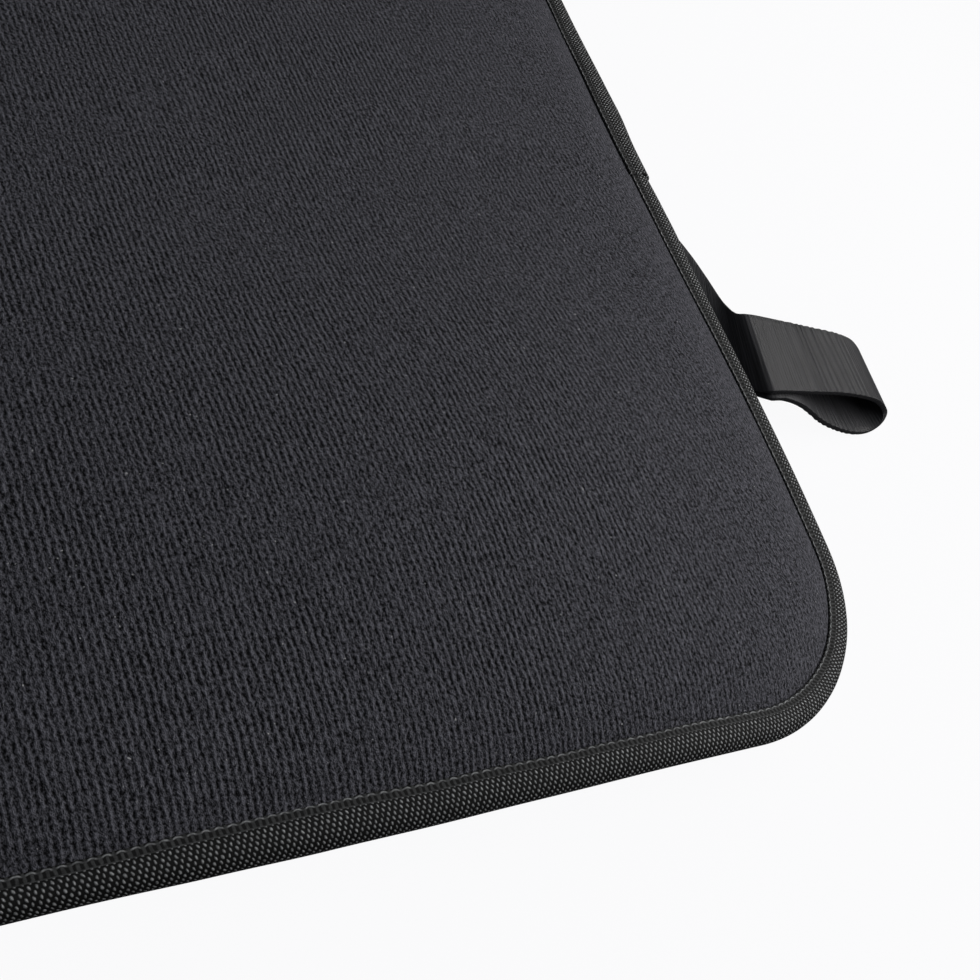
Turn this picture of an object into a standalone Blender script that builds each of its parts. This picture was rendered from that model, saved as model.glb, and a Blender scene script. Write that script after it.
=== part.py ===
"""Tailgate bike pad: a padded blanket that hangs over a pickup's tailgate, with a bound edge
and four webbing tie-down loops.

Units are metres, +Z is up. The lining faces up and the shell rests on z = 0. The origin is
the middle of the outline. The long sides run along X, and the loops stand out of the two
short sides.
"""
import math

import bmesh
import bpy
from mathutils import Vector, geometry

# Outline of the whole pad, over its binding
PAD_LENGTH = 1.370
PAD_WIDTH = 0.860
CORNER_RADIUS = 0.036

# Layers, from the top down
PAD_THICKNESS = 0.015
LINING_THICKNESS = 0.0014
SHELL_THICKNESS = 0.0010
LAYER_GAP = 0.0003

# The pressed and bound edge
TAPE_THICKNESS = 0.0009
EDGE_HEIGHT = 0.0062
EDGE_SINK = 0.0029
FLANGE_WIDTH = 0.0052
SEAM_MARGIN = 0.0026
LINING_SLOPE = 0.014
SHELL_SLOPE = 0.030
CORNER_CORE = 0.002
SLOPE_STEPS = 5
CORNER_STEPS = 8
NOSE_STEPS = 8

# Webbing tie-down loops
WEBBING_WIDTH = 0.022
WEBBING_THICKNESS = 0.0013
LOOP_REACH = 0.047
LOOP_WAIST = 0.016
LOOP_WAIST_RISE = 0.001
LOOP_EYE_HEIGHT = 0.0085
LOOP_TAIL = 0.012
LOOP_FROM_CORNER = 0.088
PLY_GAP = 0.0003
FLOOR_GAP = 0.0002
TAIL_STEPS = 6
SPAN_STEPS = 8
TIP_STEPS = 10

# Bar tacks that hold the loop tails under the shell
TACK_LENGTH = 0.018
TACK_WIDTH = 0.0022
TACK_THICKNESS = 0.0006
TACK_FROM_EDGE = 0.0105
TACK_ROUNDING = 0.0002

# Heights that follow from the sizes above
EDGE_TOP = PAD_THICKNESS - EDGE_SINK
EDGE_BOTTOM = EDGE_TOP - EDGE_HEIGHT
MARGIN_TOP = EDGE_TOP - TAPE_THICKNESS - LAYER_GAP
MARGIN_BOTTOM = EDGE_BOTTOM + TAPE_THICKNESS + LAYER_GAP
SLOPE_START = FLANGE_WIDTH + LAYER_GAP
PLY_STEP = WEBBING_THICKNESS + PLY_GAP

# A slope ends before the corner's arc has shrunk to a point
LONGEST_SLOPE = CORNER_RADIUS - SLOPE_START - CORNER_CORE
LINING_RUN = min(LINING_SLOPE, LONGEST_SLOPE)
SHELL_RUN = min(SHELL_SLOPE, LONGEST_SLOPE)


def srgb(hex_colour):
    """Linear RGBA of an sRGB hex colour."""
    channels = [int(hex_colour[i:i + 2], 16) / 255 for i in (0, 2, 4)]
    linear = [c / 12.92 if c <= 0.04045 else ((c + 0.055) / 1.055) ** 2.4 for c in channels]
    return (*linear, 1.0)


def material(name, hex_colour, roughness):
    """One plain cloth material."""
    made = bpy.data.materials.new(name)
    made.use_nodes = True
    shader = made.node_tree.nodes["Principled BSDF"]
    shader.inputs["Base Color"].default_value = srgb(hex_colour)
    shader.inputs["Roughness"].default_value = roughness
    shader.inputs["Metallic"].default_value = 0.0
    return made


def collection(name):
    """A new collection in the scene."""
    made = bpy.data.collections.new(name)
    bpy.context.scene.collection.children.link(made)
    return made


def add(where, name, data, look=None):
    """A new object of some data, in a collection and with its material."""
    if look:
        data.materials.append(look)
    made = bpy.data.objects.new(name, data)
    where.objects.link(made)
    return made


def ease(share):
    """A smooth step from 0 to 1."""
    return share * share * (3 - 2 * share)


def slope(start_inset, start_height, width, end_height):
    """Points (inset, height) of a smooth rise or fall, from the seam to the flat middle."""
    points = []
    for step in range(SLOPE_STEPS + 1):
        share = step / SLOPE_STEPS
        height = start_height + (end_height - start_height) * ease(share)
        points.append((start_inset + width * share, height))
    return points


def inset_and_raise(mesh, face, profile, inset_now):
    """Shapes one big face into a slope: each step is inset and moved to its height."""
    for inset, height in profile:
        if inset > inset_now:
            bmesh.ops.inset_region(mesh, faces=[face], thickness=inset - inset_now)
            inset_now = inset
        bmesh.ops.translate(mesh, verts=face.verts, vec=(0, 0, height - face.verts[0].co.z))


def padded_layer(name, look, edge_inset, top, bottom):
    """A layer of the pad: a rounded prism whose two faces are shaped by their profiles."""
    mesh = bmesh.new()
    bmesh.ops.create_grid(mesh, x_segments=1, y_segments=1, size=0.5)
    bmesh.ops.scale(mesh, vec=(PAD_LENGTH - 2 * edge_inset, PAD_WIDTH - 2 * edge_inset, 1),
                    verts=mesh.verts)
    bmesh.ops.bevel(mesh, geom=mesh.verts[:], offset=CORNER_RADIUS - edge_inset,
                    offset_type="OFFSET", segments=CORNER_STEPS, profile=0.5, affect="VERTICES")
    bottom_face = mesh.faces[:][0]
    bmesh.ops.translate(mesh, verts=bottom_face.verts, vec=(0, 0, bottom[0][1]))
    result = bmesh.ops.extrude_face_region(mesh, geom=[bottom_face], use_keep_orig=True)
    top_face = next(item for item in result["geom"] if isinstance(item, bmesh.types.BMFace))
    bmesh.ops.translate(mesh, verts=top_face.verts, vec=(0, 0, top[0][1] - bottom[0][1]))
    bottom_face.normal_flip()
    inset_and_raise(mesh, top_face, top, edge_inset)
    inset_and_raise(mesh, bottom_face, bottom, edge_inset)
    bmesh.ops.recalc_face_normals(mesh, faces=mesh.faces)
    data = bpy.data.meshes.new(name)
    mesh.to_mesh(data)
    mesh.free()
    made = add(pad, name, data, look)
    data.shade_smooth()
    data.set_sharp_from_angle(angle=math.radians(50))
    return made


def make_lining(look):
    """The brushed lining: level on top, down to the binding at its edge."""
    top = [(SEAM_MARGIN, MARGIN_TOP)]
    top += slope(SLOPE_START, MARGIN_TOP, LINING_RUN, PAD_THICKNESS)
    bottom = [(inset, height - LINING_THICKNESS) for inset, height in top]
    return padded_layer("lining_panel", look, SEAM_MARGIN, top, bottom)


def make_shell(look):
    """The coated shell: flat on the ground, up to the binding at its edge."""
    bottom = [(SEAM_MARGIN, MARGIN_BOTTOM)]
    bottom += slope(SLOPE_START, MARGIN_BOTTOM, SHELL_RUN, 0.0)
    top = [(inset, height + SHELL_THICKNESS) for inset, height in bottom]
    return padded_layer("outer_shell", look, SEAM_MARGIN, top, bottom)


def make_foam(look):
    """The foam sheet, pressed thin inside the bound edge."""
    lining_drop = LINING_THICKNESS + LAYER_GAP
    shell_lift = SHELL_THICKNESS + LAYER_GAP
    top = [(SEAM_MARGIN, MARGIN_TOP - lining_drop)]
    top += slope(SLOPE_START, MARGIN_TOP - lining_drop, LINING_RUN,
                 PAD_THICKNESS - lining_drop)
    bottom = [(SEAM_MARGIN, MARGIN_BOTTOM + shell_lift)]
    bottom += slope(SLOPE_START, MARGIN_BOTTOM + shell_lift, SHELL_RUN, shell_lift)
    return padded_layer("foam_core", look, SEAM_MARGIN, top, bottom)


def polyline(name, points, closed):
    """A flat poly curve through (x, y) points."""
    curve = bpy.data.curves.new(name, "CURVE")
    curve.dimensions = "2D"
    curve.fill_mode = "NONE"
    curve.render_resolution_u = 0
    spline = curve.splines.new("POLY")
    spline.points.add(len(points) - 1)
    for target, point in zip(spline.points, points):
        target.co = (point[0], point[1], 0, 1)
    spline.use_cyclic_u = closed
    return curve


def nose(half_height, nose_x):
    """The round outer side of the folded tape, from its bottom to its top."""
    points = []
    for step in range(NOSE_STEPS + 1):
        angle = math.pi / 2 - math.pi * step / NOSE_STEPS
        points.append((nose_x - half_height * math.cos(angle), -half_height * math.sin(angle)))
    return points


def tape_section():
    """The folded tape's closed section: x runs inward from the outline, y runs up."""
    half = EDGE_HEIGHT / 2
    inner_half = half - TAPE_THICKNESS
    outer = [(FLANGE_WIDTH, -half)] + nose(half, half) + [(FLANGE_WIDTH, half)]
    inner = [(FLANGE_WIDTH, -inner_half)] + nose(inner_half, half) + [(FLANGE_WIDTH, inner_half)]
    return outer + inner[::-1]


def outline(inset):
    """Points of the pad's rounded outline, counter-clockwise from above."""
    radius = CORNER_RADIUS - inset
    centre_x = PAD_LENGTH / 2 - CORNER_RADIUS
    centre_y = PAD_WIDTH / 2 - CORNER_RADIUS
    points = []
    for quarter, (side_x, side_y) in enumerate(((1, 1), (-1, 1), (-1, -1), (1, -1))):
        for step in range(CORNER_STEPS + 1):
            angle = (quarter + step / CORNER_STEPS) * math.pi / 2
            points.append((side_x * centre_x + radius * math.cos(angle),
                           side_y * centre_y + radius * math.sin(angle)))
    return points


def make_binding(look):
    """The binding tape, folded over the edge of all the layers."""
    section = add(helpers, "tape_section", polyline("tape_section", tape_section(), True))
    section.hide_render = True
    section.display_type = "WIRE"
    path = polyline("edge_binding", outline(0), True)
    path.bevel_mode = "OBJECT"
    path.bevel_object = section
    made = add(pad, "edge_binding", path, look)
    made.location.z = EDGE_BOTTOM + EDGE_HEIGHT / 2
    return made


def shell_underside(inset):
    """Height of the shell's underside at a distance in from the outline."""
    profile = slope(SLOPE_START, MARGIN_BOTTOM, SHELL_RUN, 0.0)
    for (near, near_z), (far, far_z) in zip(profile, profile[1:]):
        if inset <= far:
            share = max(inset - near, 0) / (far - near)
            return near_z + (far_z - near_z) * share
    return 0.0


def tail_centre():
    """Centre of the upper ply where it lies under the shell, from its end to the edge."""
    length = FLANGE_WIDTH + LOOP_TAIL
    points = []
    for step in range(TAIL_STEPS + 1):
        inset = length * (1 - step / TAIL_STEPS)
        carrier = min(shell_underside(inset), EDGE_BOTTOM)
        points.append(Vector((-inset, carrier - LAYER_GAP - WEBBING_THICKNESS / 2)))
    return points


def span(start, start_pull, end_pull, end):
    """Points of one smooth span of webbing, after its start and up to its end."""
    return list(geometry.interpolate_bezier(start, start_pull, end_pull, end, SPAN_STEPS))[1:]


def loop_centre():
    """Centre line of the webbing in one loop: out above, round the eye, back below."""
    half = WEBBING_THICKNESS / 2
    tip_radius = LOOP_EYE_HEIGHT / 2 + half
    eye = Vector((LOOP_REACH - half - tip_radius, FLOOR_GAP + half + tip_radius))
    tail = tail_centre()
    edge = tail[-1]
    waist = Vector((LOOP_WAIST, eye.y + PLY_STEP / 2 + LOOP_WAIST_RISE))
    out = Vector((LOOP_WAIST / 2, 0))
    reach = Vector(((eye.x - waist.x) / 2, 0))
    drop = Vector((0, PLY_STEP))
    upper = tail + span(edge, edge + out, waist - out, waist)
    upper += span(waist, waist + reach, eye + Vector((0, tip_radius)) - reach,
                  eye + Vector((0, tip_radius)))
    tip = []
    for step in range(1, TIP_STEPS):
        angle = math.pi / 2 - math.pi * step / TIP_STEPS
        tip.append(eye + tip_radius * Vector((math.cos(angle), math.sin(angle))))
    low = eye - Vector((0, tip_radius))
    lower = [low] + span(low, low - reach, waist - drop + reach, waist - drop)
    lower += span(waist - drop, waist - drop - out, edge - drop + out, edge - drop)
    lower += [point - drop for point in tail[-2::-1]]
    return upper + tip + lower


def strip_outline(centre, thickness):
    """Closed outline of a strip of some thickness along its centre line."""
    left = []
    right = []
    for i, point in enumerate(centre):
        before = centre[max(i - 1, 0)]
        after = centre[min(i + 1, len(centre) - 1)]
        along = (after - before).normalized()
        across = Vector((-along.y, along.x)) * thickness / 2
        left.append(point + across)
        right.append(point - across)
    return left + right[::-1]


def make_loop(name, look, side_x, side_y):
    """One tie-down loop of folded webbing, on a short side near a corner."""
    section = polyline(name, strip_outline(loop_centre(), WEBBING_THICKNESS), True)
    section.fill_mode = "BOTH"
    section.extrude = WEBBING_WIDTH / 2
    made = add(pad, name, section, look)
    made.location = (side_x * PAD_LENGTH / 2, side_y * (PAD_WIDTH / 2 - LOOP_FROM_CORNER), 0)
    made.rotation_euler = (math.pi / 2, 0, 0 if side_x > 0 else math.pi)
    return made


def make_tack(name, look, side_x, side_y):
    """The bar tack that sews a loop's two tails to the shell, seen on the lower tail."""
    top = EDGE_BOTTOM - LAYER_GAP - WEBBING_THICKNESS - PLY_STEP - LAYER_GAP
    mesh = bmesh.new()
    bmesh.ops.create_cube(mesh, size=1)
    bmesh.ops.scale(mesh, vec=(TACK_WIDTH, TACK_LENGTH, TACK_THICKNESS), verts=mesh.verts)
    bmesh.ops.bevel(mesh, geom=mesh.edges[:], offset=TACK_ROUNDING, offset_type="OFFSET",
                    segments=2, profile=0.5, affect="EDGES")
    data = bpy.data.meshes.new(name)
    mesh.to_mesh(data)
    mesh.free()
    made = add(pad, name, data, look)
    made.location = (side_x * (PAD_LENGTH / 2 - TACK_FROM_EDGE),
                     side_y * (PAD_WIDTH / 2 - LOOP_FROM_CORNER), top - TACK_THICKNESS / 2)
    return made


for leftover in list(bpy.data.objects):
    bpy.data.objects.remove(leftover)

pad = collection("tailgate_bike_pad")
helpers = collection("helpers")

make_lining(material("brushed_rib_lining", "2b2b30", 0.95))
make_foam(material("foam_sheet", "3a3a3c", 0.9))
make_shell(material("coated_shell_cloth", "1b1b1d", 0.6))
make_binding(material("woven_binding_tape", "333333", 0.75))
for end_name, side_y in (("front", -1), ("back", 1)):
    for side_name, side_x in (("left", -1), ("right", 1)):
        place = f"{end_name}_{side_name}"
        make_loop(f"webbing_loop_{place}", material(f"webbing_{place}", "232325", 0.6),
                  side_x, side_y)
        make_tack(f"bar_tack_{place}", material(f"tack_thread_{place}", "1a1a1c", 0.5),
                  side_x, side_y)
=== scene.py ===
"""Looks of the tailgate bike pad: its soft layers, woven edge binding and webbing loops,
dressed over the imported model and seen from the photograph's angle.

Units are metres, and names that end in MM are millimetres. The lining faces up.
"""
import math

import bmesh
import bpy
from mathutils import Matrix, Vector, noise


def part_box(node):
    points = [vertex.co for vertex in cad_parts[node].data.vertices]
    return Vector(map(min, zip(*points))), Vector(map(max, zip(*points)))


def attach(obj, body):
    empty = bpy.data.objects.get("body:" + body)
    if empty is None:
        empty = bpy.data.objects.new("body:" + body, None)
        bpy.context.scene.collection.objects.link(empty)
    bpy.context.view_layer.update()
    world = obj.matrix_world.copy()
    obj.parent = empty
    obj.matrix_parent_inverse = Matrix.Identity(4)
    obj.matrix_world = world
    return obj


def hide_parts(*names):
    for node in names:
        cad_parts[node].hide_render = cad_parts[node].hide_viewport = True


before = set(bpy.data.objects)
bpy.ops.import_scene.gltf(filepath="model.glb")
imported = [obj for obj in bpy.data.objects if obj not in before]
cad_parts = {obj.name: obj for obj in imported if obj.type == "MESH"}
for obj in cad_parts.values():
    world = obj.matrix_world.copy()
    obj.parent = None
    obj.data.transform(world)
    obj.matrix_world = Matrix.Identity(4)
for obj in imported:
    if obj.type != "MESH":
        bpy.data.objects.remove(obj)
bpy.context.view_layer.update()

MM = 0.001

# The pad's outline and heights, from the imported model
EDGE_LOW, EDGE_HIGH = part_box("edge_binding")
HALF_LENGTH = EDGE_HIGH[0]
HALF_WIDTH = EDGE_HIGH[1]
EDGE_BOTTOM = EDGE_LOW[2]
EDGE_TOP = EDGE_HIGH[2]
PAD_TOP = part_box("lining_panel")[1][2]
CORNER_RADIUS = 36 * MM

# Layers and what lies between them
LINING_THICKNESS = 1.4 * MM
SHELL_THICKNESS = 1.0 * MM
TAPE_THICKNESS = 0.8 * MM
LAYER_GAP = 0.3 * MM
SEAM_INSET = 2.6 * MM
FLANGE_WIDTH = 5.2 * MM
LINING_SLOPE = 15 * MM
SHELL_SLOPE = 30 * MM

# Rows of the layers' meshes, in from the seam, and the cells between them
EDGE_ROWS_MM = (0, 1.2, 2.3, 2.9, 3.5, 4.2, 5.1, 6.2, 7.6, 9.4, 11.6, 14.4, 17.8, 21.8,
                26.3, 31.3, 36.8, 42.8, 49.2, 56)
FINE_CELL = 4 * MM
WIDE_CELL = 11 * MM
CELL_GROWTH = 1.03

# Swells that lift the soft pad: x and y from the visible corner, spread, height. They are the
# rounded output of a least-squares fit to the photo's ribs and edges, not chosen by hand
CORNER_SWELLS_MM = ((-78, 54, 58, 11.2), (-97, 103, 32, -3.9), (-46, 106, 25, -2.3),
                    (-101, -14, 36, -4.1))
# Swells of the rest of the pad: x and y from its middle, spread, height
OTHER_SWELLS_MM = ((-590, -330, 70, 6.5), (-575, 345, 62, 5.0), (600, 350, 66, 5.5),
                   (120, 400, 95, 3.0), (-190, -400, 100, 3.4), (-660, 10, 85, 2.8),
                   (250, -40, 130, 1.6), (-330, 80, 150, 1.8))
CORNER_AT = Vector((HALF_LENGTH - FLANGE_WIDTH, FLANGE_WIDTH - HALF_WIDTH))

# The binding tape
TAPE_PITCH_MM = 0.985
TAPE_ROW_MM = 0.74
SELVEDGE_MM = 1.6
NOSE_STEPS = 16
FLANGE_STEPS = 5
JOIN_FROM_CORNER = 135 * MM
JOIN_OVERLAP = 16 * MM
LAP_RISE = 30 * MM
TAPE_FINE_STEP = 0.8 * MM
TAPE_WIDE_STEP = 5 * MM
TAPE_SEEN_AFTER_JOIN = 0.43
TAPE_SEEN_BEFORE_JOIN = 0.09

# Where the tape is pulled out of line: way from the join, bulge of its nose, wider flange.
# Set from how far the render's outline lay from the photo's
TAPE_PULLS_MM = ((-100, 0, 0), (-60, 1.8, 0), (-40, 2.3, 0), (-25, 1.9, 0), (-8, 0.9, 0.2),
                 (0, 0.9, 0), (8, 1.2, 0), (17, 1.3, 0), (30, 0.4, 0.2), (60, 0.1, 0),
                 (104, 0.2, 0.2), (125, 0.6, 0), (160, 0.6, 0), (180, 0.6, 0), (220, 0.6, 0.2),
                 (245, 0.4, 0.9), (262, 0.1, 0.9), (285, -0.2, 0.4), (330, 0, 0))

# Colours of the cloths
# The lining's colours: painted shade in the rib grooves, painted light on the crowns, mixed with
# random grain tone
SHADED_GROOVE_COLOUR = "0d0d10"
LIT_CROWN_COLOUR = "64646c"
LINT_COLOUR = "9a9a9c"
TAPE_GROUND = "0c0c0c"
# Painted highlight: the pale colour of the black tape's yarn crowns and selvedge yarns
TAPE_CROWN_HIGHLIGHT = "aeb0b2"

# Lights and surroundings
KEY_AT = (0.90, -0.42, 0.22)
KEY_AIM = (0.64, -0.42, 0)
KEY_SIZE = (0.6, 0.1)
KEY_POWER = 1.2
FILL_AT = (0.5, -0.4, 1.2)
FILL_AIM = (0, 0, 0)
FILL_SIZE = (1.0, 1.0)
FILL_POWER = 2.8
FLOOR_GLOW = 0.96
WORLD_GLOW = 0.06

# The lining's ribs, as the same fit gives them
RIB_PITCH_MM = 1.203
RIB_TURN = math.radians(5.73)

# The webbing loops: both rims of the strap at each place along it, the far rim first, each
# out from the edge, along it and up, then how much the place follows the pad's lift. Edited
# from places that a program worked out from the strap's outline in the photo
STRAP_THICKNESS = 1.25 * MM
STRAP_STEP_MM = 0.42
RIPPLE_MM = 0.11
RIPPLE_PITCH_MM = 2.1
WEBBING_RIB_MM = 0.8
UPPER_PLY_MM = ((-16, 46, 8.2, -16, 24, 7.8, 1), (-8, 45, 8.1, -9, 23.5, 7.2, 1),
                (-1.6, 41.5, 8.0, -5, 20.5, 5.8, 1), (2.6, 36.8, 9.2, -2.2, 16, 5.0, 0.9),
                (5.0, 31.2, 9.3, 0.2, 10.5, 4.7, 0.8), (6.9, 23.8, 9.3, 3.0, 3.5, 4.9, 0.7),
                (8.0, 16.7, 9.7, 4.6, -4.5, 6.4, 0.6), (8.5, 11.6, 11.2, 5.4, -9.5, 9.6, 0.5),
                (9.7, 9.6, 12.8, 6.6, -11.9, 12.4, 0.45), (12.6, 9.0, 12.9, 9.8, -12.1, 12.6, 0.4),
                (22.5, 7.5, 12.1, 20.5, -12.3, 11.8, 0.2), (30.4, 6.3, 11.4, 30, -12.4, 10.9, 0.1),
                (38, 5.2, 10.6, 38, -12.9, 9.7, 0), (43.4, 3.6, 9.5, 43.6, -13.7, 8.3, 0))
TIP_MM = ((46.4, 0.6, 7.2, 47.2, -15.3, 6.0, 0),)
LOWER_PLY_MM = ((45.6, 1.5, 4.0, 47, -17, 3.6, 0), (42, 3.2, 1.8, 43.5, -18, 1.4, 0),
                (36, 3.0, 2.4, 36.4, -18, 2.0, 0), (26, 4.0, 6.2, 26.1, -17, 5.5, 0.1),
                (18.5, 6, 9.9, 17, -14.7, 9.9, 0.3), (13.6, 8, 11.1, 11.6, -13.2, 10.9, 0.4),
                (10.8, 9, 11.1, 7.7, -12.7, 10.6, 0.45), (9.7, 11.4, 9.6, 6.6, -10.2, 8.2, 0.5),
                (9.1, 16.8, 7.9, 5.6, -4.8, 4.7, 0.6), (7.9, 24, 7.6, 3.7, 3.5, 3.2, 0.7),
                (5.9, 31.6, 7.6, 0.6, 10, 3.0, 0.8), (3.3, 37, 7.5, -2.1, 15.6, 3.3, 0.9),
                (-1.6, 41.5, 6.3, -5.2, 20.5, 4.1, 1), (-8, 45, 6.4, -9, 23.5, 5.5, 1),
                (-16, 46, 6.5, -16, 24, 6.1, 1))

# The bar tacks that hold the loops' tails
TACK_OUT_MM = -10.5
TACK_SIDE_MM = 35
TACK_UP_MM = 5.75
TACK_LENGTH_MM = 18
TACK_WIDTH_MM = 2.0
TACK_STITCHES = 30
THREAD_RADIUS = 0.2 * MM


def srgb(hex_colour):
    """Linear RGBA of an sRGB hex colour."""
    channels = [int(hex_colour[i:i + 2], 16) / 255 for i in (0, 2, 4)]
    linear = [c / 12.92 if c <= 0.04045 else ((c + 0.055) / 1.055) ** 2.4 for c in channels]
    return (*linear, 1.0)


def ease(share):
    """A smooth step from 0 to 1, held at its ends."""
    share = min(max(share, 0.0), 1.0)
    return share * share * (3 - 2 * share)


def bell(x, y, swell, origin):
    """Height of one round swell at a point."""
    at_x, at_y, spread, height = swell
    dx = x - origin.x - at_x * MM
    dy = y - origin.y - at_y * MM
    return height * MM * math.exp(-(dx * dx + dy * dy) / (2 * (spread * MM) ** 2))


def lift(x, y):
    """How far the soft pad stands off its flat place at a point."""
    total = sum(bell(x, y, swell, CORNER_AT) for swell in CORNER_SWELLS_MM)
    total += sum(bell(x, y, swell, Vector((0, 0))) for swell in OTHER_SWELLS_MM)
    return max(total, 0.0)


def lining_height(inset, x, y):
    """Top of the lining: held down by the tape, then crowned up to the level middle."""
    low = EDGE_TOP - TAPE_THICKNESS - LAYER_GAP
    share = min(max((inset - FLANGE_WIDTH + 0.5 * MM) / LINING_SLOPE, 0.0), 1.0)
    return low + (PAD_TOP - low) * (1 - (1 - share) ** 2.3) + lift(x, y)


def shell_height(inset, x, y):
    """Underside of the shell: up to the tape at the edge, on the ground further in."""
    high = EDGE_BOTTOM + TAPE_THICKNESS + LAYER_GAP
    return high * (1 - ease((inset - FLANGE_WIDTH) / SHELL_SLOPE)) + lift(x, y)


def foam_top(inset, x, y):
    return lining_height(inset, x, y) - LINING_THICKNESS - LAYER_GAP


def foam_bottom(inset, x, y):
    return shell_height(inset, x, y) + SHELL_THICKNESS + LAYER_GAP


def edit(obj):
    """Makes an object the only selected and active one."""
    bpy.ops.object.select_all(action="DESELECT")
    obj.select_set(True)
    bpy.context.view_layer.objects.active = obj
    return obj


def finish_modifier(obj, kind, **settings):
    """Adds a modifier with its settings and applies it."""
    edit(obj)
    bpy.ops.object.modifier_add(type=kind)
    modifier = obj.modifiers[-1]
    for name, value in settings.items():
        setattr(modifier, name, value)
    bpy.ops.object.modifier_apply(modifier=modifier.name)


def graded(length, fine_first):
    """Shares from 0 to 1 along a length, in cells that widen away from the fine end."""
    places = [0.0]
    cell = FINE_CELL
    while places[-1] < length:
        places.append(places[-1] + cell)
        cell = min(cell * CELL_GROWTH, WIDE_CELL)
    shares = [place / places[-1] for place in places]
    return shares if fine_first else [1 - share for share in reversed(shares)]


def stations(half, edge_inset, fine_first):
    """Places of the mesh's rows across the pad, from its low edge to its high one."""
    rows = [half - edge_inset - row * MM for row in EDGE_ROWS_MM]
    inner = rows[-1]
    middle = [-inner + 2 * inner * share for share in graded(2 * inner, fine_first)]
    return [-row for row in rows[:-1]] + middle + rows[-2::-1]


def round_corner(x, y, block, edge_inset):
    """Moves a point of a square corner block onto rows that follow the round corner."""
    core_x = HALF_LENGTH - edge_inset - block
    core_y = HALF_WIDTH - edge_inset - block
    side = abs(x) - core_x
    front = abs(y) - core_y
    row = max(side, front)
    if min(side, front) <= 0:
        return x, y, block - row
    radius = max(CORNER_RADIUS - edge_inset - (block - row), 0.0)
    straight = row - radius
    way = min(side, front) / row * (straight + radius * math.pi / 4)
    if way < straight or not radius:
        far, near = row, way
    else:
        turn = (way - straight) / radius
        far = straight + radius * math.cos(turn)
        near = straight + radius * math.sin(turn)
    if side < front:
        far, near = near, far
    return math.copysign(core_x + far, x), math.copysign(core_y + near, y), block - row


def layer_surface(name, edge_inset, height):
    """One open surface over the whole pad, from a grid whose rows follow the edge."""
    across = stations(HALF_LENGTH, edge_inset, False)
    along = stations(HALF_WIDTH, edge_inset, True)
    bpy.ops.object.select_all(action="DESELECT")
    bpy.ops.mesh.primitive_grid_add(x_subdivisions=len(across) - 1,
                                    y_subdivisions=len(along) - 1, size=2)
    obj = bpy.context.active_object
    obj.name = name
    block = EDGE_ROWS_MM[-1] * MM
    for vertex in obj.data.vertices:
        column = round((vertex.co.x + 1) / 2 * (len(across) - 1))
        line = round((vertex.co.y + 1) / 2 * (len(along) - 1))
        x, y, inset = round_corner(across[column], along[line], block, edge_inset)
        vertex.co = (x, y, height(inset + edge_inset, x, y))
    return obj


def turn_over(obj):
    """Turns a surface's faces to the other side."""
    edit(obj)
    bpy.ops.object.mode_set(mode="EDIT")
    bpy.ops.mesh.select_all(action="SELECT")
    bpy.ops.mesh.flip_normals()
    bpy.ops.object.mode_set(mode="OBJECT")


def dress(obj, node_name, look):
    """Gives a piece its material, its shading and its body, and hides the solid it stands for."""
    obj.data.materials.clear()
    obj.data.materials.append(look)
    obj.data.shade_smooth()
    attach(obj, "root")
    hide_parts(node_name)
    return obj


def make_lining(look):
    """The ribbed lining sheet, sewn under the tape all round."""
    obj = layer_surface("rib_lining", SEAM_INSET, lining_height)
    finish_modifier(obj, "SOLIDIFY", thickness=LINING_THICKNESS, offset=-1)
    return dress(obj, "lining_panel", look)


def make_shell(look):
    """The coated shell sheet, which lies on the ground."""
    obj = layer_surface("coated_shell", SEAM_INSET, shell_height)
    turn_over(obj)
    finish_modifier(obj, "SOLIDIFY", thickness=SHELL_THICKNESS, offset=-1)
    return dress(obj, "outer_shell", look)


def make_foam(look):
    """The foam sheet between them, thin at the seam."""
    obj = layer_surface("foam_sheet", SEAM_INSET, foam_top)
    below = layer_surface("foam_underside", SEAM_INSET, foam_bottom)
    turn_over(below)
    edit(obj)
    below.select_set(True)
    bpy.ops.object.join()
    bpy.ops.object.mode_set(mode="EDIT")
    bpy.ops.mesh.select_all(action="DESELECT")
    bpy.ops.mesh.select_mode(type="EDGE")
    bpy.ops.mesh.select_non_manifold(extend=False)
    bpy.ops.mesh.bridge_edge_loops()
    bpy.ops.object.mode_set(mode="OBJECT")
    return dress(obj, "foam_core", look)


def outline_point(way):
    """Point and outward direction on the pad's outline, at a way clockwise from the join."""
    length = HALF_LENGTH - CORNER_RADIUS
    width = HALF_WIDTH - CORNER_RADIUS
    quarter = CORNER_RADIUS * math.pi / 2
    left = (way + width - (CORNER_AT.y + JOIN_FROM_CORNER)) % (4 * (length + width + quarter))
    corners = ((length, -width, 0), (-length, -width, -90), (-length, width, -180),
               (length, width, -270))
    runs = (2 * width, 2 * length, 2 * width, 2 * length)
    for (corner_x, corner_y, degrees), run in zip(corners, runs):
        angle = math.radians(degrees)
        out = Vector((math.cos(angle), math.sin(angle)))
        back = Vector((-out.y, out.x))
        centre = Vector((corner_x, corner_y))
        if left < run:
            return centre + out * CORNER_RADIUS + back * (run - left), out
        left -= run
        if left < quarter:
            turn = angle - left / CORNER_RADIUS
            out = Vector((math.cos(turn), math.sin(turn)))
            return centre + out * CORNER_RADIUS, out
        left -= quarter
    raise ValueError("the way is longer than the outline")


def pull_of_tape(way):
    """Bulge and extra flange of the tape at a way from the join."""
    for (low, *at_low), (high, *at_high) in zip(TAPE_PULLS_MM, TAPE_PULLS_MM[1:]):
        if low <= way / MM < high:
            share = ease((way / MM - low) / (high - low))
            return [(a + (b - a) * share) * MM for a, b in zip(at_low, at_high)]
    return 0.0, 0.0


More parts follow.
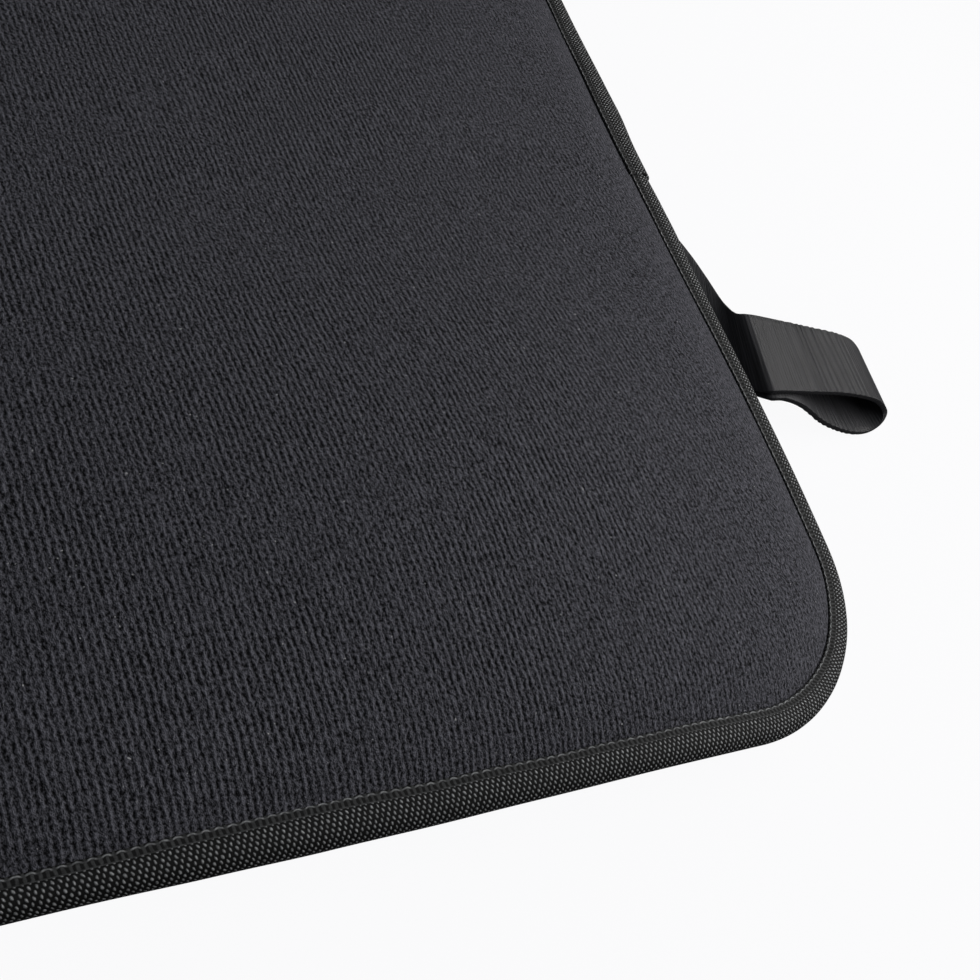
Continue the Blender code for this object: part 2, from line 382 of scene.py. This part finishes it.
def tape_section(swell, widen):
    """The folded tape from its upper selvedge round the nose to its lower one."""
    half = (EDGE_TOP - EDGE_BOTTOM) / 2
    middle = (EDGE_TOP + EDGE_BOTTOM) / 2
    flange = FLANGE_WIDTH + widen
    dip = 0.35 * MM
    inner = half + 0.25 * MM
    top = []
    for step in range(FLANGE_STEPS):
        share = step / FLANGE_STEPS
        inset = flange + (inner - flange) * share
        top.append((inset, half - dip * (1 - ease(share * 1.6 - 0.6))))
    nose = []
    for step in range(NOSE_STEPS + 1):
        angle = math.pi / 2 - math.pi * step / NOSE_STEPS
        nose.append((inner - inner * abs(math.cos(angle)) ** 0.85 * (1 + swell / inner),
                     half * math.sin(angle)))
    bottom = [(inset, -height) for inset, height in reversed(top)]
    return [(inset, middle + height) for inset, height in top + nose + bottom]


def tape_ways(total):
    """Ways along the tape: close together where the camera sees it, wide elsewhere."""
    ways = [0.0]
    while ways[-1] < total:
        way = ways[-1]
        fine = way < TAPE_SEEN_AFTER_JOIN or way > total - TAPE_SEEN_BEFORE_JOIN
        ways.append(way + (TAPE_FINE_STEP if fine else TAPE_WIDE_STEP))
    return ways[:-1] + [total]


def make_binding(look):
    """The binding tape: once round the edge, its end lapped over its start."""
    round_trip = 4 * (HALF_LENGTH + HALF_WIDTH) - (8 - 2 * math.pi) * CORNER_RADIUS
    total = round_trip + JOIN_OVERLAP
    bm = bmesh.new()
    layer = bm.loops.layers.uv.new("tape")
    rows = []
    for way in tape_ways(total):
        place, out = outline_point(way - JOIN_OVERLAP)
        on_top = ease((way - round_trip + LAP_RISE) / LAP_RISE)
        wave = noise.noise(Vector((way * 45, 3.1, 0)))
        from_join = way - JOIN_OVERLAP
        if from_join > round_trip - 100 * MM:
            from_join -= round_trip
        bulge, wider = pull_of_tape(from_join)
        ragged = 0.25 * MM * noise.noise(Vector((way * 70, 0, 7)))
        section = tape_section(bulge + 0.12 * MM * wave, wider + ragged + 0.7 * MM * on_top)
        row = []
        across = 0.0
        last = None
        for inset, height in section:
            centre = (EDGE_TOP + EDGE_BOTTOM) / 2
            inset = inset - 0.15 * MM * on_top * max(1 - inset / FLANGE_WIDTH, 0)
            height += math.copysign(TAPE_THICKNESS * on_top * 0.8, height - centre) * \
                min(abs(height - centre) / (1.5 * MM), 1)
            point = Vector((inset, height))
            across += (point - last).length if last else 0.0
            last = point
            x = place.x - out.x * inset
            y = place.y - out.y * inset
            row.append((bm.verts.new((x, y, height + lift(x, y))), across / MM))
        rows.append((way / MM, row))
    for (way, row), (next_way, next_row) in zip(rows, rows[1:]):
        for i in range(len(row) - 1):
            corners = ((way, row[i]), (next_way, next_row[i]), (next_way, next_row[i + 1]),
                       (way, row[i + 1]))
            face = bm.faces.new([vertex for _, (vertex, _) in corners])
            for loop, (u, (_, v)) in zip(face.loops, corners):
                loop[layer].uv = (u, v)
    data = bpy.data.meshes.new("edge_tape")
    bm.to_mesh(data)
    bm.free()
    obj = bpy.data.objects.new("edge_tape", data)
    bpy.context.scene.collection.objects.link(obj)
    finish_modifier(obj, "SOLIDIFY", thickness=TAPE_THICKNESS, offset=-1)
    return dress(obj, "edge_binding", look)


def smooth_route(points):
    """Close points on a smooth curve through a route's own points."""
    knots = [Vector(point) for point in points]
    ends = [knots[0] * 2 - knots[1]] + knots + [knots[-1] * 2 - knots[-2]]
    route = [knots[0]]
    for before, start, end, after in zip(ends, ends[1:], ends[2:], ends[3:]):
        steps = max(round((end - start).length / STRAP_STEP_MM), 2)
        for step in range(1, steps + 1):
            t = step / steps
            route.append(0.5 * (2 * start + (end - before) * t
                                + (2 * before - 5 * start + 4 * end - after) * t * t
                                + (3 * start - before - 3 * end + after) * t ** 3))
    return route


def make_loop(place, side_x, side_y, look):
    """One folded webbing loop, sewn under the shell and laid out over the edge."""
    node_name = f"webbing_loop_{place}"
    low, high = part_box(node_name)
    centre_y = (low[1] + high[1]) / 2
    shown = lift(HALF_LENGTH, -abs(centre_y))
    raised = lift(side_x * HALF_LENGTH, centre_y) - shown
    route = smooth_route(UPPER_PLY_MM + TIP_MM + LOWER_PLY_MM)
    bm = bmesh.new()
    layer = bm.loops.layers.uv.new("strap")
    across = 12
    rows = []
    along = 0.0
    for i, point in enumerate(route):
        far, near, held = Vector(point[:3]), Vector(point[3:6]), point[6]
        if i:
            last = route[i - 1]
            along += ((far + near) / 2 - (Vector(last[:3]) + Vector(last[3:6])) / 2).length
        middle = (far.x + near.x) / 2
        ripple = RIPPLE_MM * ease((middle - 15) / 9) * ease((42 - middle) / 6)
        row = []
        for step in range(across + 1):
            out, side, up = near + (far - near) * (step / across)
            bend = noise.noise(Vector((along * 0.3, step * 0.05, 2 + side_x + 5 * side_y)))
            wave = math.sin(2 * math.pi * (along / RIPPLE_PITCH_MM + 0.5 * bend))
            x = side_x * (HALF_LENGTH + out * MM)
            y = centre_y - side_y * side * MM
            z = (up + ripple * wave) * MM + held * raised
            row.append((bm.verts.new((x, y, z)), (far - near).length * step / across))
        rows.append((along, row))
    for (u, row), (next_u, next_row) in zip(rows, rows[1:]):
        for i in range(across):
            corners = [(u, row[i]), (next_u, next_row[i]), (next_u, next_row[i + 1]),
                       (u, row[i + 1])]
            face = bm.faces.new([vertex for _, (vertex, _) in corners])
            for loop, (u_at, (_, v_at)) in zip(face.loops, corners):
                loop[layer].uv = (u_at, v_at)
    data = bpy.data.meshes.new(f"tie_down_{place}")
    bm.to_mesh(data)
    bm.free()
    obj = bpy.data.objects.new(f"tie_down_{place}", data)
    bpy.context.scene.collection.objects.link(obj)
    finish_modifier(obj, "SOLIDIFY", thickness=STRAP_THICKNESS, offset=0)
    finish_modifier(obj, "BEVEL", width=0.3 * MM, segments=2, limit_method="ANGLE",
                    angle_limit=math.radians(50))
    edit(obj)
    bpy.ops.object.mode_set(mode="EDIT")
    bpy.ops.mesh.select_all(action="SELECT")
    bpy.ops.mesh.normals_make_consistent(inside=False)
    bpy.ops.object.mode_set(mode="OBJECT")
    return dress(obj, node_name, look)


def make_tack(place, side_x, side_y, look):
    """The bar tack that holds a loop's tails: a tight zigzag of thread over them."""
    centre_y = sum(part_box(f"webbing_loop_{place}")[i][1] for i in (0, 1)) / 2
    raised = lift(side_x * HALF_LENGTH, centre_y) - lift(HALF_LENGTH, -abs(centre_y))
    curve = bpy.data.curves.new(f"stitches_{place}", "CURVE")
    curve.dimensions = "3D"
    curve.bevel_depth = THREAD_RADIUS
    curve.bevel_resolution = 2
    spline = curve.splines.new("POLY")
    spline.points.add(TACK_STITCHES)
    for i, point in enumerate(spline.points):
        out = TACK_OUT_MM + TACK_WIDTH_MM * (i % 2 - 0.5)
        side = TACK_SIDE_MM + TACK_LENGTH_MM * (i / TACK_STITCHES - 0.5)
        point.co = (side_x * (HALF_LENGTH + out * MM), centre_y - side_y * side * MM,
                    TACK_UP_MM * MM + raised, 1)
    drawn = bpy.data.objects.new(f"tack_curve_{place}", curve)
    bpy.context.scene.collection.objects.link(drawn)
    edit(drawn)
    bpy.ops.object.convert(target="MESH")
    obj = bpy.context.view_layer.objects.active
    obj.name = f"tack_stitches_{place}"
    return dress(obj, f"bar_tack_{place}", look)


def add_node(tree, kind, links=None, **settings):
    """Adds a node with its settings; each input is a value or another node's socket."""
    made = tree.nodes.new(kind)
    for name, value in settings.items():
        setattr(made, name, value)
    for name, value in (links or {}).items():
        if isinstance(value, bpy.types.NodeSocket):
            tree.links.new(value, made.inputs[name])
        else:
            made.inputs[name].default_value = value
    return made


def cloth(name, roughness, specular=0.3, sheen=0.0, sheen_colour="ffffff"):
    """A new cloth material, its node tree and its shader."""
    made = bpy.data.materials.new(name)
    made.use_nodes = True
    shader = made.node_tree.nodes["Principled BSDF"]
    shader.inputs["Roughness"].default_value = roughness
    shader.inputs["Specular IOR Level"].default_value = specular
    shader.inputs["Sheen Weight"].default_value = sheen
    shader.inputs["Sheen Roughness"].default_value = 0.45
    shader.inputs["Sheen Tint"].default_value = srgb(sheen_colour)
    return made, made.node_tree, shader


def math_of(tree, operation, first, second=0.0, third=0.0, clamp=False):
    """One arithmetic step between sockets or numbers."""
    return add_node(tree, "ShaderNodeMath", {0: first, 1: second, 2: third},
                    operation=operation, use_clamp=clamp).outputs[0]


def noise_of(tree, place, scale, detail=2.0, stretch=(1, 1, 1), roughness=0.5):
    """Soft random values at a scale per millimetre, stretched along an axis if asked."""
    spread = add_node(tree, "ShaderNodeMapping", {"Vector": place, "Scale": stretch})
    return add_node(tree, "ShaderNodeTexNoise",
                    {"Vector": spread.outputs["Vector"], "Scale": scale, "Detail": detail,
                     "Roughness": roughness}).outputs["Fac"]


def spread_of(tree, value, low, high, new_low=0.0, new_high=1.0):
    """A value moved from one range to another and held inside it."""
    return add_node(tree, "ShaderNodeMapRange",
                    {"Value": value, "From Min": low, "From Max": high, "To Min": new_low,
                     "To Max": new_high}).outputs["Result"]


def rib_lining_look():
    """Brushed polyester rib knit: fine cords with a soft raised nap that blurs them."""
    made, tree, shader = cloth("brushed rib knit", 0.95, 0.15, 0.1, "c8c8d0")
    place = add_node(tree, "ShaderNodeTexCoord").outputs["Object"]
    turned = add_node(tree, "ShaderNodeMapping", {"Vector": place, "Scale": (1 / MM,) * 3,
                                                  "Rotation": (0, 0, -RIB_TURN)})
    millimetres = turned.outputs["Vector"]
    split = add_node(tree, "ShaderNodeSeparateXYZ", {0: millimetres})
    fuzz = noise_of(tree, millimetres, 2.3, 1.5, (1, 0.7, 1), 0.6)
    dashes = noise_of(tree, millimetres, 1.0, 1.0, (0.9, 0.8, 1))
    drift = math_of(tree, "MULTIPLY_ADD", noise_of(tree, millimetres, 0.22), 0.5,
                    math_of(tree, "MULTIPLY", dashes, 0.35))
    phase = math_of(tree, "MULTIPLY_ADD", split.outputs["X"], 1 / RIB_PITCH_MM, drift)
    wave = math_of(tree, "COSINE", math_of(tree, "MULTIPLY", phase, 2 * math.pi))
    worn = noise_of(tree, millimetres, 0.04, 3.0)
    clear = spread_of(tree, worn, 0.32, 0.62, 0.55, 1.0)
    flat = add_node(tree, "ShaderNodeSeparateXYZ", {0: place})
    at_edge = spread_of(tree, flat.outputs["X"], HALF_LENGTH - 75 * MM,
                        HALF_LENGTH - 12 * MM, 1.0, 0.4)
    relief = math_of(tree, "MULTIPLY", math_of(tree, "MULTIPLY", wave, clear), at_edge)
    broken = math_of(tree, "MULTIPLY", relief, spread_of(tree, dashes, 0.3, 0.7, 0.55, 1.3))
    grain = math_of(tree, "MULTIPLY_ADD", fuzz, 2.2, math_of(tree, "MULTIPLY", dashes, 0.3))
    body = math_of(tree, "SUBTRACT", math_of(tree, "MULTIPLY_ADD", broken, 0.34, grain), 0.75)
    lint = spread_of(tree, noise_of(tree, millimetres, 1.7, 0.0), 0.83, 0.88)
    # Painted shade and light: rib grooves coloured dark and crowns pale over random grain tone,
    # the ribs weaker towards the +X edge
    ramp = add_node(tree, "ShaderNodeValToRGB", {"Fac": body})
    ramp.color_ramp.elements[0].position = 0.05
    ramp.color_ramp.elements[0].color = srgb(SHADED_GROOVE_COLOUR)
    ramp.color_ramp.elements[1].position = 1.0
    ramp.color_ramp.elements[1].color = srgb(LIT_CROWN_COLOUR)
    specked = add_node(tree, "ShaderNodeMix", {0: lint, 6: ramp.outputs["Color"],
                                               7: srgb(LINT_COLOUR)}, data_type="RGBA")
    tree.links.new(specked.outputs[2], shader.inputs["Base Color"])
    bump = add_node(tree, "ShaderNodeBump", {"Height": body, "Strength": 0.9,
                                             "Distance": 0.35 * MM})
    tree.links.new(bump.outputs["Normal"], shader.inputs["Normal"])
    return made


def tape_look():
    """Plain-woven black polypropylene binding: its weft crowns painted pale as highlights on the
    black ground.
    """
    made, tree, shader = cloth("plain-woven binding tape", 0.7, 0.2)
    place = add_node(tree, "ShaderNodeUVMap", uv_map="tape").outputs["UV"]
    split = add_node(tree, "ShaderNodeSeparateXYZ", {0: place})
    along, across = split.outputs["X"], split.outputs["Y"]
    strand = noise_of(tree, place, 1.6, 3.0)
    strays = math_of(tree, "MULTIPLY_ADD", noise_of(tree, place, 0.9), 0.5, along)
    leaned = math_of(tree, "MULTIPLY_ADD", across, 0.35, strays)
    column = math_of(tree, "DIVIDE", leaned, TAPE_PITCH_MM / 2)
    odd = math_of(tree, "MODULO", math_of(tree, "FLOOR", column), 2.0)
    row = math_of(tree, "MULTIPLY_ADD", odd, 0.5,
                  math_of(tree, "DIVIDE", across, 2 * TAPE_ROW_MM))
    from_column = math_of(tree, "SUBTRACT", math_of(tree, "FRACT", column), 0.5)
    from_row = math_of(tree, "SUBTRACT", math_of(tree, "FRACT", row), 0.5)
    wide = math_of(tree, "POWER", math_of(tree, "DIVIDE", from_column, 0.5), 2.0)
    tall = math_of(tree, "POWER", math_of(tree, "DIVIDE", from_row, 0.25), 2.0)
    crown = math_of(tree, "SUBTRACT", 1.0, math_of(tree, "ADD", wide, tall), clamp=True)
    slanted = math_of(tree, "MULTIPLY_ADD", across, 0.2, strays)
    slot_at = math_of(tree, "FRACT", math_of(tree, "DIVIDE", slanted, TAPE_PITCH_MM))
    slot_off = math_of(tree, "ABSOLUTE", math_of(tree, "SUBTRACT", slot_at, 0.5))
    rung = spread_of(tree, slot_off, 0.18, 0.36, 0.0, 0.13)
    arch_turn = math_of(tree, "COSINE", math_of(tree, "MULTIPLY", strays,
                                                math.pi / TAPE_PITCH_MM))
    arch = math_of(tree, "MULTIPLY_ADD", arch_turn, -0.13, 0.34)
    arch_off = math_of(tree, "ABSOLUTE", math_of(tree, "SUBTRACT", across, arch))
    arch_line = spread_of(tree, arch_off, 0.06, 0.22, 0.7, 0.0)
    arch_light = math_of(tree, "MULTIPLY", arch_line,
                         spread_of(tree, arch_turn, -0.9, 0.1, 0.25, 1.0))
    inner_off = math_of(tree, "ABSOLUTE", math_of(tree, "SUBTRACT", across,
                                                  SELVEDGE_MM - 0.1))
    inner_line = spread_of(tree, inner_off, 0.05, 0.16, 0.16, 0.0)
    ladder = math_of(tree, "MAXIMUM", math_of(tree, "MAXIMUM", rung, arch_light), inner_line)
    in_selvedge = math_of(tree, "LESS_THAN", across, SELVEDGE_MM)
    light = add_node(tree, "ShaderNodeMix", {0: in_selvedge, 2: crown, 3: ladder}).outputs[0]
    worn = math_of(tree, "MULTIPLY", light,
                   spread_of(tree, strand, 0.3, 0.7, 0.35, 1.15), clamp=True)
    # Painted highlights: crowns and selvedge yarns coloured pale over the tape's own black, varied
    # at random
    ramp = add_node(tree, "ShaderNodeValToRGB", {"Fac": worn})
    ramp.color_ramp.elements[0].color = srgb(TAPE_GROUND)
    ramp.color_ramp.elements[1].color = srgb(TAPE_CROWN_HIGHLIGHT)
    tree.links.new(ramp.outputs["Color"], shader.inputs["Base Color"])
    bump = add_node(tree, "ShaderNodeBump", {"Height": light, "Strength": 0.8,
                                             "Distance": 0.22 * MM})
    tree.links.new(bump.outputs["Normal"], shader.inputs["Normal"])
    return made


def webbing_look():
    """Smooth nylon webbing: fine cross ribs with a low satin sheen."""
    made, tree, shader = cloth("ribbed nylon webbing", 0.55, 0.3)
    place = add_node(tree, "ShaderNodeUVMap", uv_map="strap").outputs["UV"]
    split = add_node(tree, "ShaderNodeSeparateXYZ", {0: place})
    ribs = math_of(tree, "SINE", math_of(tree, "MULTIPLY", split.outputs["X"],
                                         2 * math.pi / WEBBING_RIB_MM))
    streak_place = add_node(tree, "ShaderNodeMapping",
                            {"Vector": place, "Scale": (1.0, 0.06, 1.0)})
    streak = add_node(tree, "ShaderNodeTexNoise", {"Vector": streak_place.outputs["Vector"],
                                                   "Scale": 1.3, "Detail": 2.0}).outputs["Fac"]
    # Painted highlight and shade: the cross ribs coloured lighter and darker in turn, over random
    # streaks of tone
    tone = math_of(tree, "MULTIPLY_ADD", ribs, 0.12, streak, clamp=True)
    ramp = add_node(tree, "ShaderNodeValToRGB", {"Fac": tone})
    ramp.color_ramp.elements[0].position = 0.15
    ramp.color_ramp.elements[0].color = srgb("1c1c1e")
    ramp.color_ramp.elements[1].position = 0.95
    ramp.color_ramp.elements[1].color = srgb("3a3a3e")
    tree.links.new(ramp.outputs["Color"], shader.inputs["Base Color"])
    bump = add_node(tree, "ShaderNodeBump", {"Height": tone, "Strength": 0.6,
                                             "Distance": 0.2 * MM})
    tree.links.new(bump.outputs["Normal"], shader.inputs["Normal"])
    return made


def thread_look():
    """Bonded sewing thread, twisted from three strands."""
    made, tree, shader = cloth("bonded thread", 0.45, 0.5)
    place = add_node(tree, "ShaderNodeTexCoord").outputs["Object"]
    twist = add_node(tree, "ShaderNodeTexWave", {"Vector": place, "Scale": 900.0,
                                                 "Distortion": 1.0}).outputs["Fac"]
    ramp = add_node(tree, "ShaderNodeValToRGB", {"Fac": twist})
    ramp.color_ramp.elements[0].color = srgb("101011")
    ramp.color_ramp.elements[1].color = srgb("2c2c2e")
    tree.links.new(ramp.outputs["Color"], shader.inputs["Base Color"])
    return made


def shell_look():
    """Coated oxford cloth: a fine plain weave under a matt film."""
    made, tree, shader = cloth("coated oxford cloth", 0.55, 0.4)
    place = add_node(tree, "ShaderNodeTexCoord").outputs["Object"]
    millimetres = add_node(tree, "ShaderNodeMapping",
                           {"Vector": place, "Scale": (1 / MM,) * 3}).outputs["Vector"]
    weave = add_node(tree, "ShaderNodeTexChecker",
                     {"Vector": millimetres, "Scale": 1.6}).outputs["Fac"]
    cloud = add_node(tree, "ShaderNodeTexNoise",
                     {"Vector": millimetres, "Scale": 0.03, "Detail": 4.0}).outputs["Fac"]
    tone = math_of(tree, "MULTIPLY_ADD", weave, 0.3, cloud, clamp=True)
    ramp = add_node(tree, "ShaderNodeValToRGB", {"Fac": tone})
    ramp.color_ramp.elements[0].color = srgb("131315")
    ramp.color_ramp.elements[1].color = srgb("29292c")
    tree.links.new(ramp.outputs["Color"], shader.inputs["Base Color"])
    bump = add_node(tree, "ShaderNodeBump", {"Height": weave, "Strength": 0.5,
                                             "Distance": 0.1 * MM})
    tree.links.new(bump.outputs["Normal"], shader.inputs["Normal"])
    return made


def foam_look():
    """Open-cell polyurethane foam, charcoal grey."""
    made, tree, shader = cloth("open-cell foam", 0.95)
    place = add_node(tree, "ShaderNodeTexCoord").outputs["Object"]
    cells = add_node(tree, "ShaderNodeTexVoronoi", {"Vector": place, "Scale": 900.0})
    ramp = add_node(tree, "ShaderNodeValToRGB", {"Fac": cells.outputs["Distance"]})
    ramp.color_ramp.elements[0].color = srgb("2c2c2e")
    ramp.color_ramp.elements[1].color = srgb("4a4a4c")
    tree.links.new(ramp.outputs["Color"], shader.inputs["Base Color"])
    return made


def make_camera():
    """The camera of the photograph, as the fit to the ribs and edges gives it, rolled over."""
    lens_mm = 43.35
    at = Vector((0.5036, -0.4629, 0.1850))
    aim = Vector((0.6069, -0.3766, 0.0200))
    roll = math.radians(37.8)
    data = bpy.data.cameras.new("camera")
    data.lens = lens_mm
    data.sensor_width = 36
    data.clip_start = 0.01
    camera = bpy.data.objects.new("camera", data)
    turn = (aim - at).to_track_quat("-Z", "Y").to_matrix() @ Matrix.Rotation(roll, 3, "Z")
    camera.matrix_world = Matrix.Translation(at) @ turn.to_4x4()
    bpy.context.scene.collection.objects.link(camera)
    bpy.context.scene.camera = camera


def make_light(name, at, aim, size, power, colour):
    """One soft light, its longer side along Y."""
    data = bpy.data.lights.new(name, "AREA")
    data.shape = "RECTANGLE"
    data.size, data.size_y = size
    data.energy = power
    data.color = colour
    light = bpy.data.objects.new(name, data)
    light.location = at
    light.rotation_mode = "QUATERNION"
    light.rotation_quaternion = (Vector(aim) - Vector(at)).to_track_quat("-Z", "Y")
    light.visible_camera = False
    bpy.context.scene.collection.objects.link(light)


def glow(name, obj, colour, strength):
    """Makes a stage piece evenly bright and keeps its light off the cloth."""
    made = bpy.data.materials.new(name)
    made.use_nodes = True
    shader = made.node_tree.nodes["Principled BSDF"]
    shader.inputs["Base Color"].default_value = srgb("303030")
    shader.inputs["Roughness"].default_value = 1.0
    shader.inputs["Specular IOR Level"].default_value = 0.0
    shader.inputs["Emission Color"].default_value = srgb(colour)
    shader.inputs["Emission Strength"].default_value = strength
    obj.data.materials.append(made)
    obj.visible_diffuse = False
    obj.visible_glossy = False


def make_stage():
    """A white light table under a pale dome, and two lights near the corner that is shown."""
    bpy.ops.object.select_all(action="DESELECT")
    bpy.ops.mesh.primitive_plane_add(size=30, location=(0, 0, -0.5 * MM))
    floor = bpy.context.active_object
    floor.name = "floor"
    glow("white light table", floor, "fdfdfe", FLOOR_GLOW)
    bpy.ops.mesh.primitive_uv_sphere_add(segments=48, ring_count=24, radius=14)
    dome = bpy.context.active_object
    dome.name = "pale dome"
    dome.visible_shadow = False
    glow("pale backdrop", dome, "f6f7f9", 0.9)
    world = bpy.data.worlds.new("pale surround")
    world.use_nodes = True
    surround = world.node_tree.nodes["Background"]
    surround.inputs["Color"].default_value = srgb("f4f6fa")
    surround.inputs["Strength"].default_value = WORLD_GLOW
    bpy.context.scene.world = world
    make_light("key", KEY_AT, KEY_AIM, KEY_SIZE, KEY_POWER, (1.0, 0.985, 0.96))
    make_light("fill", FILL_AT, FILL_AIM, FILL_SIZE, FILL_POWER, (0.94, 0.97, 1.0))
    bpy.context.scene.view_settings.view_transform = "Standard"


make_camera()
make_stage()
lining = make_lining(rib_lining_look())
foam = make_foam(foam_look())
shell = make_shell(shell_look())
binding = make_binding(tape_look())
webbing = webbing_look()
thread = thread_look()
for end_name, side_y in (("front", -1), ("back", 1)):
    for side_name, side_x in (("left", -1), ("right", 1)):
        make_loop(f"{end_name}_{side_name}", side_x, side_y, webbing)
        make_tack(f"{end_name}_{side_name}", side_x, side_y, thread)
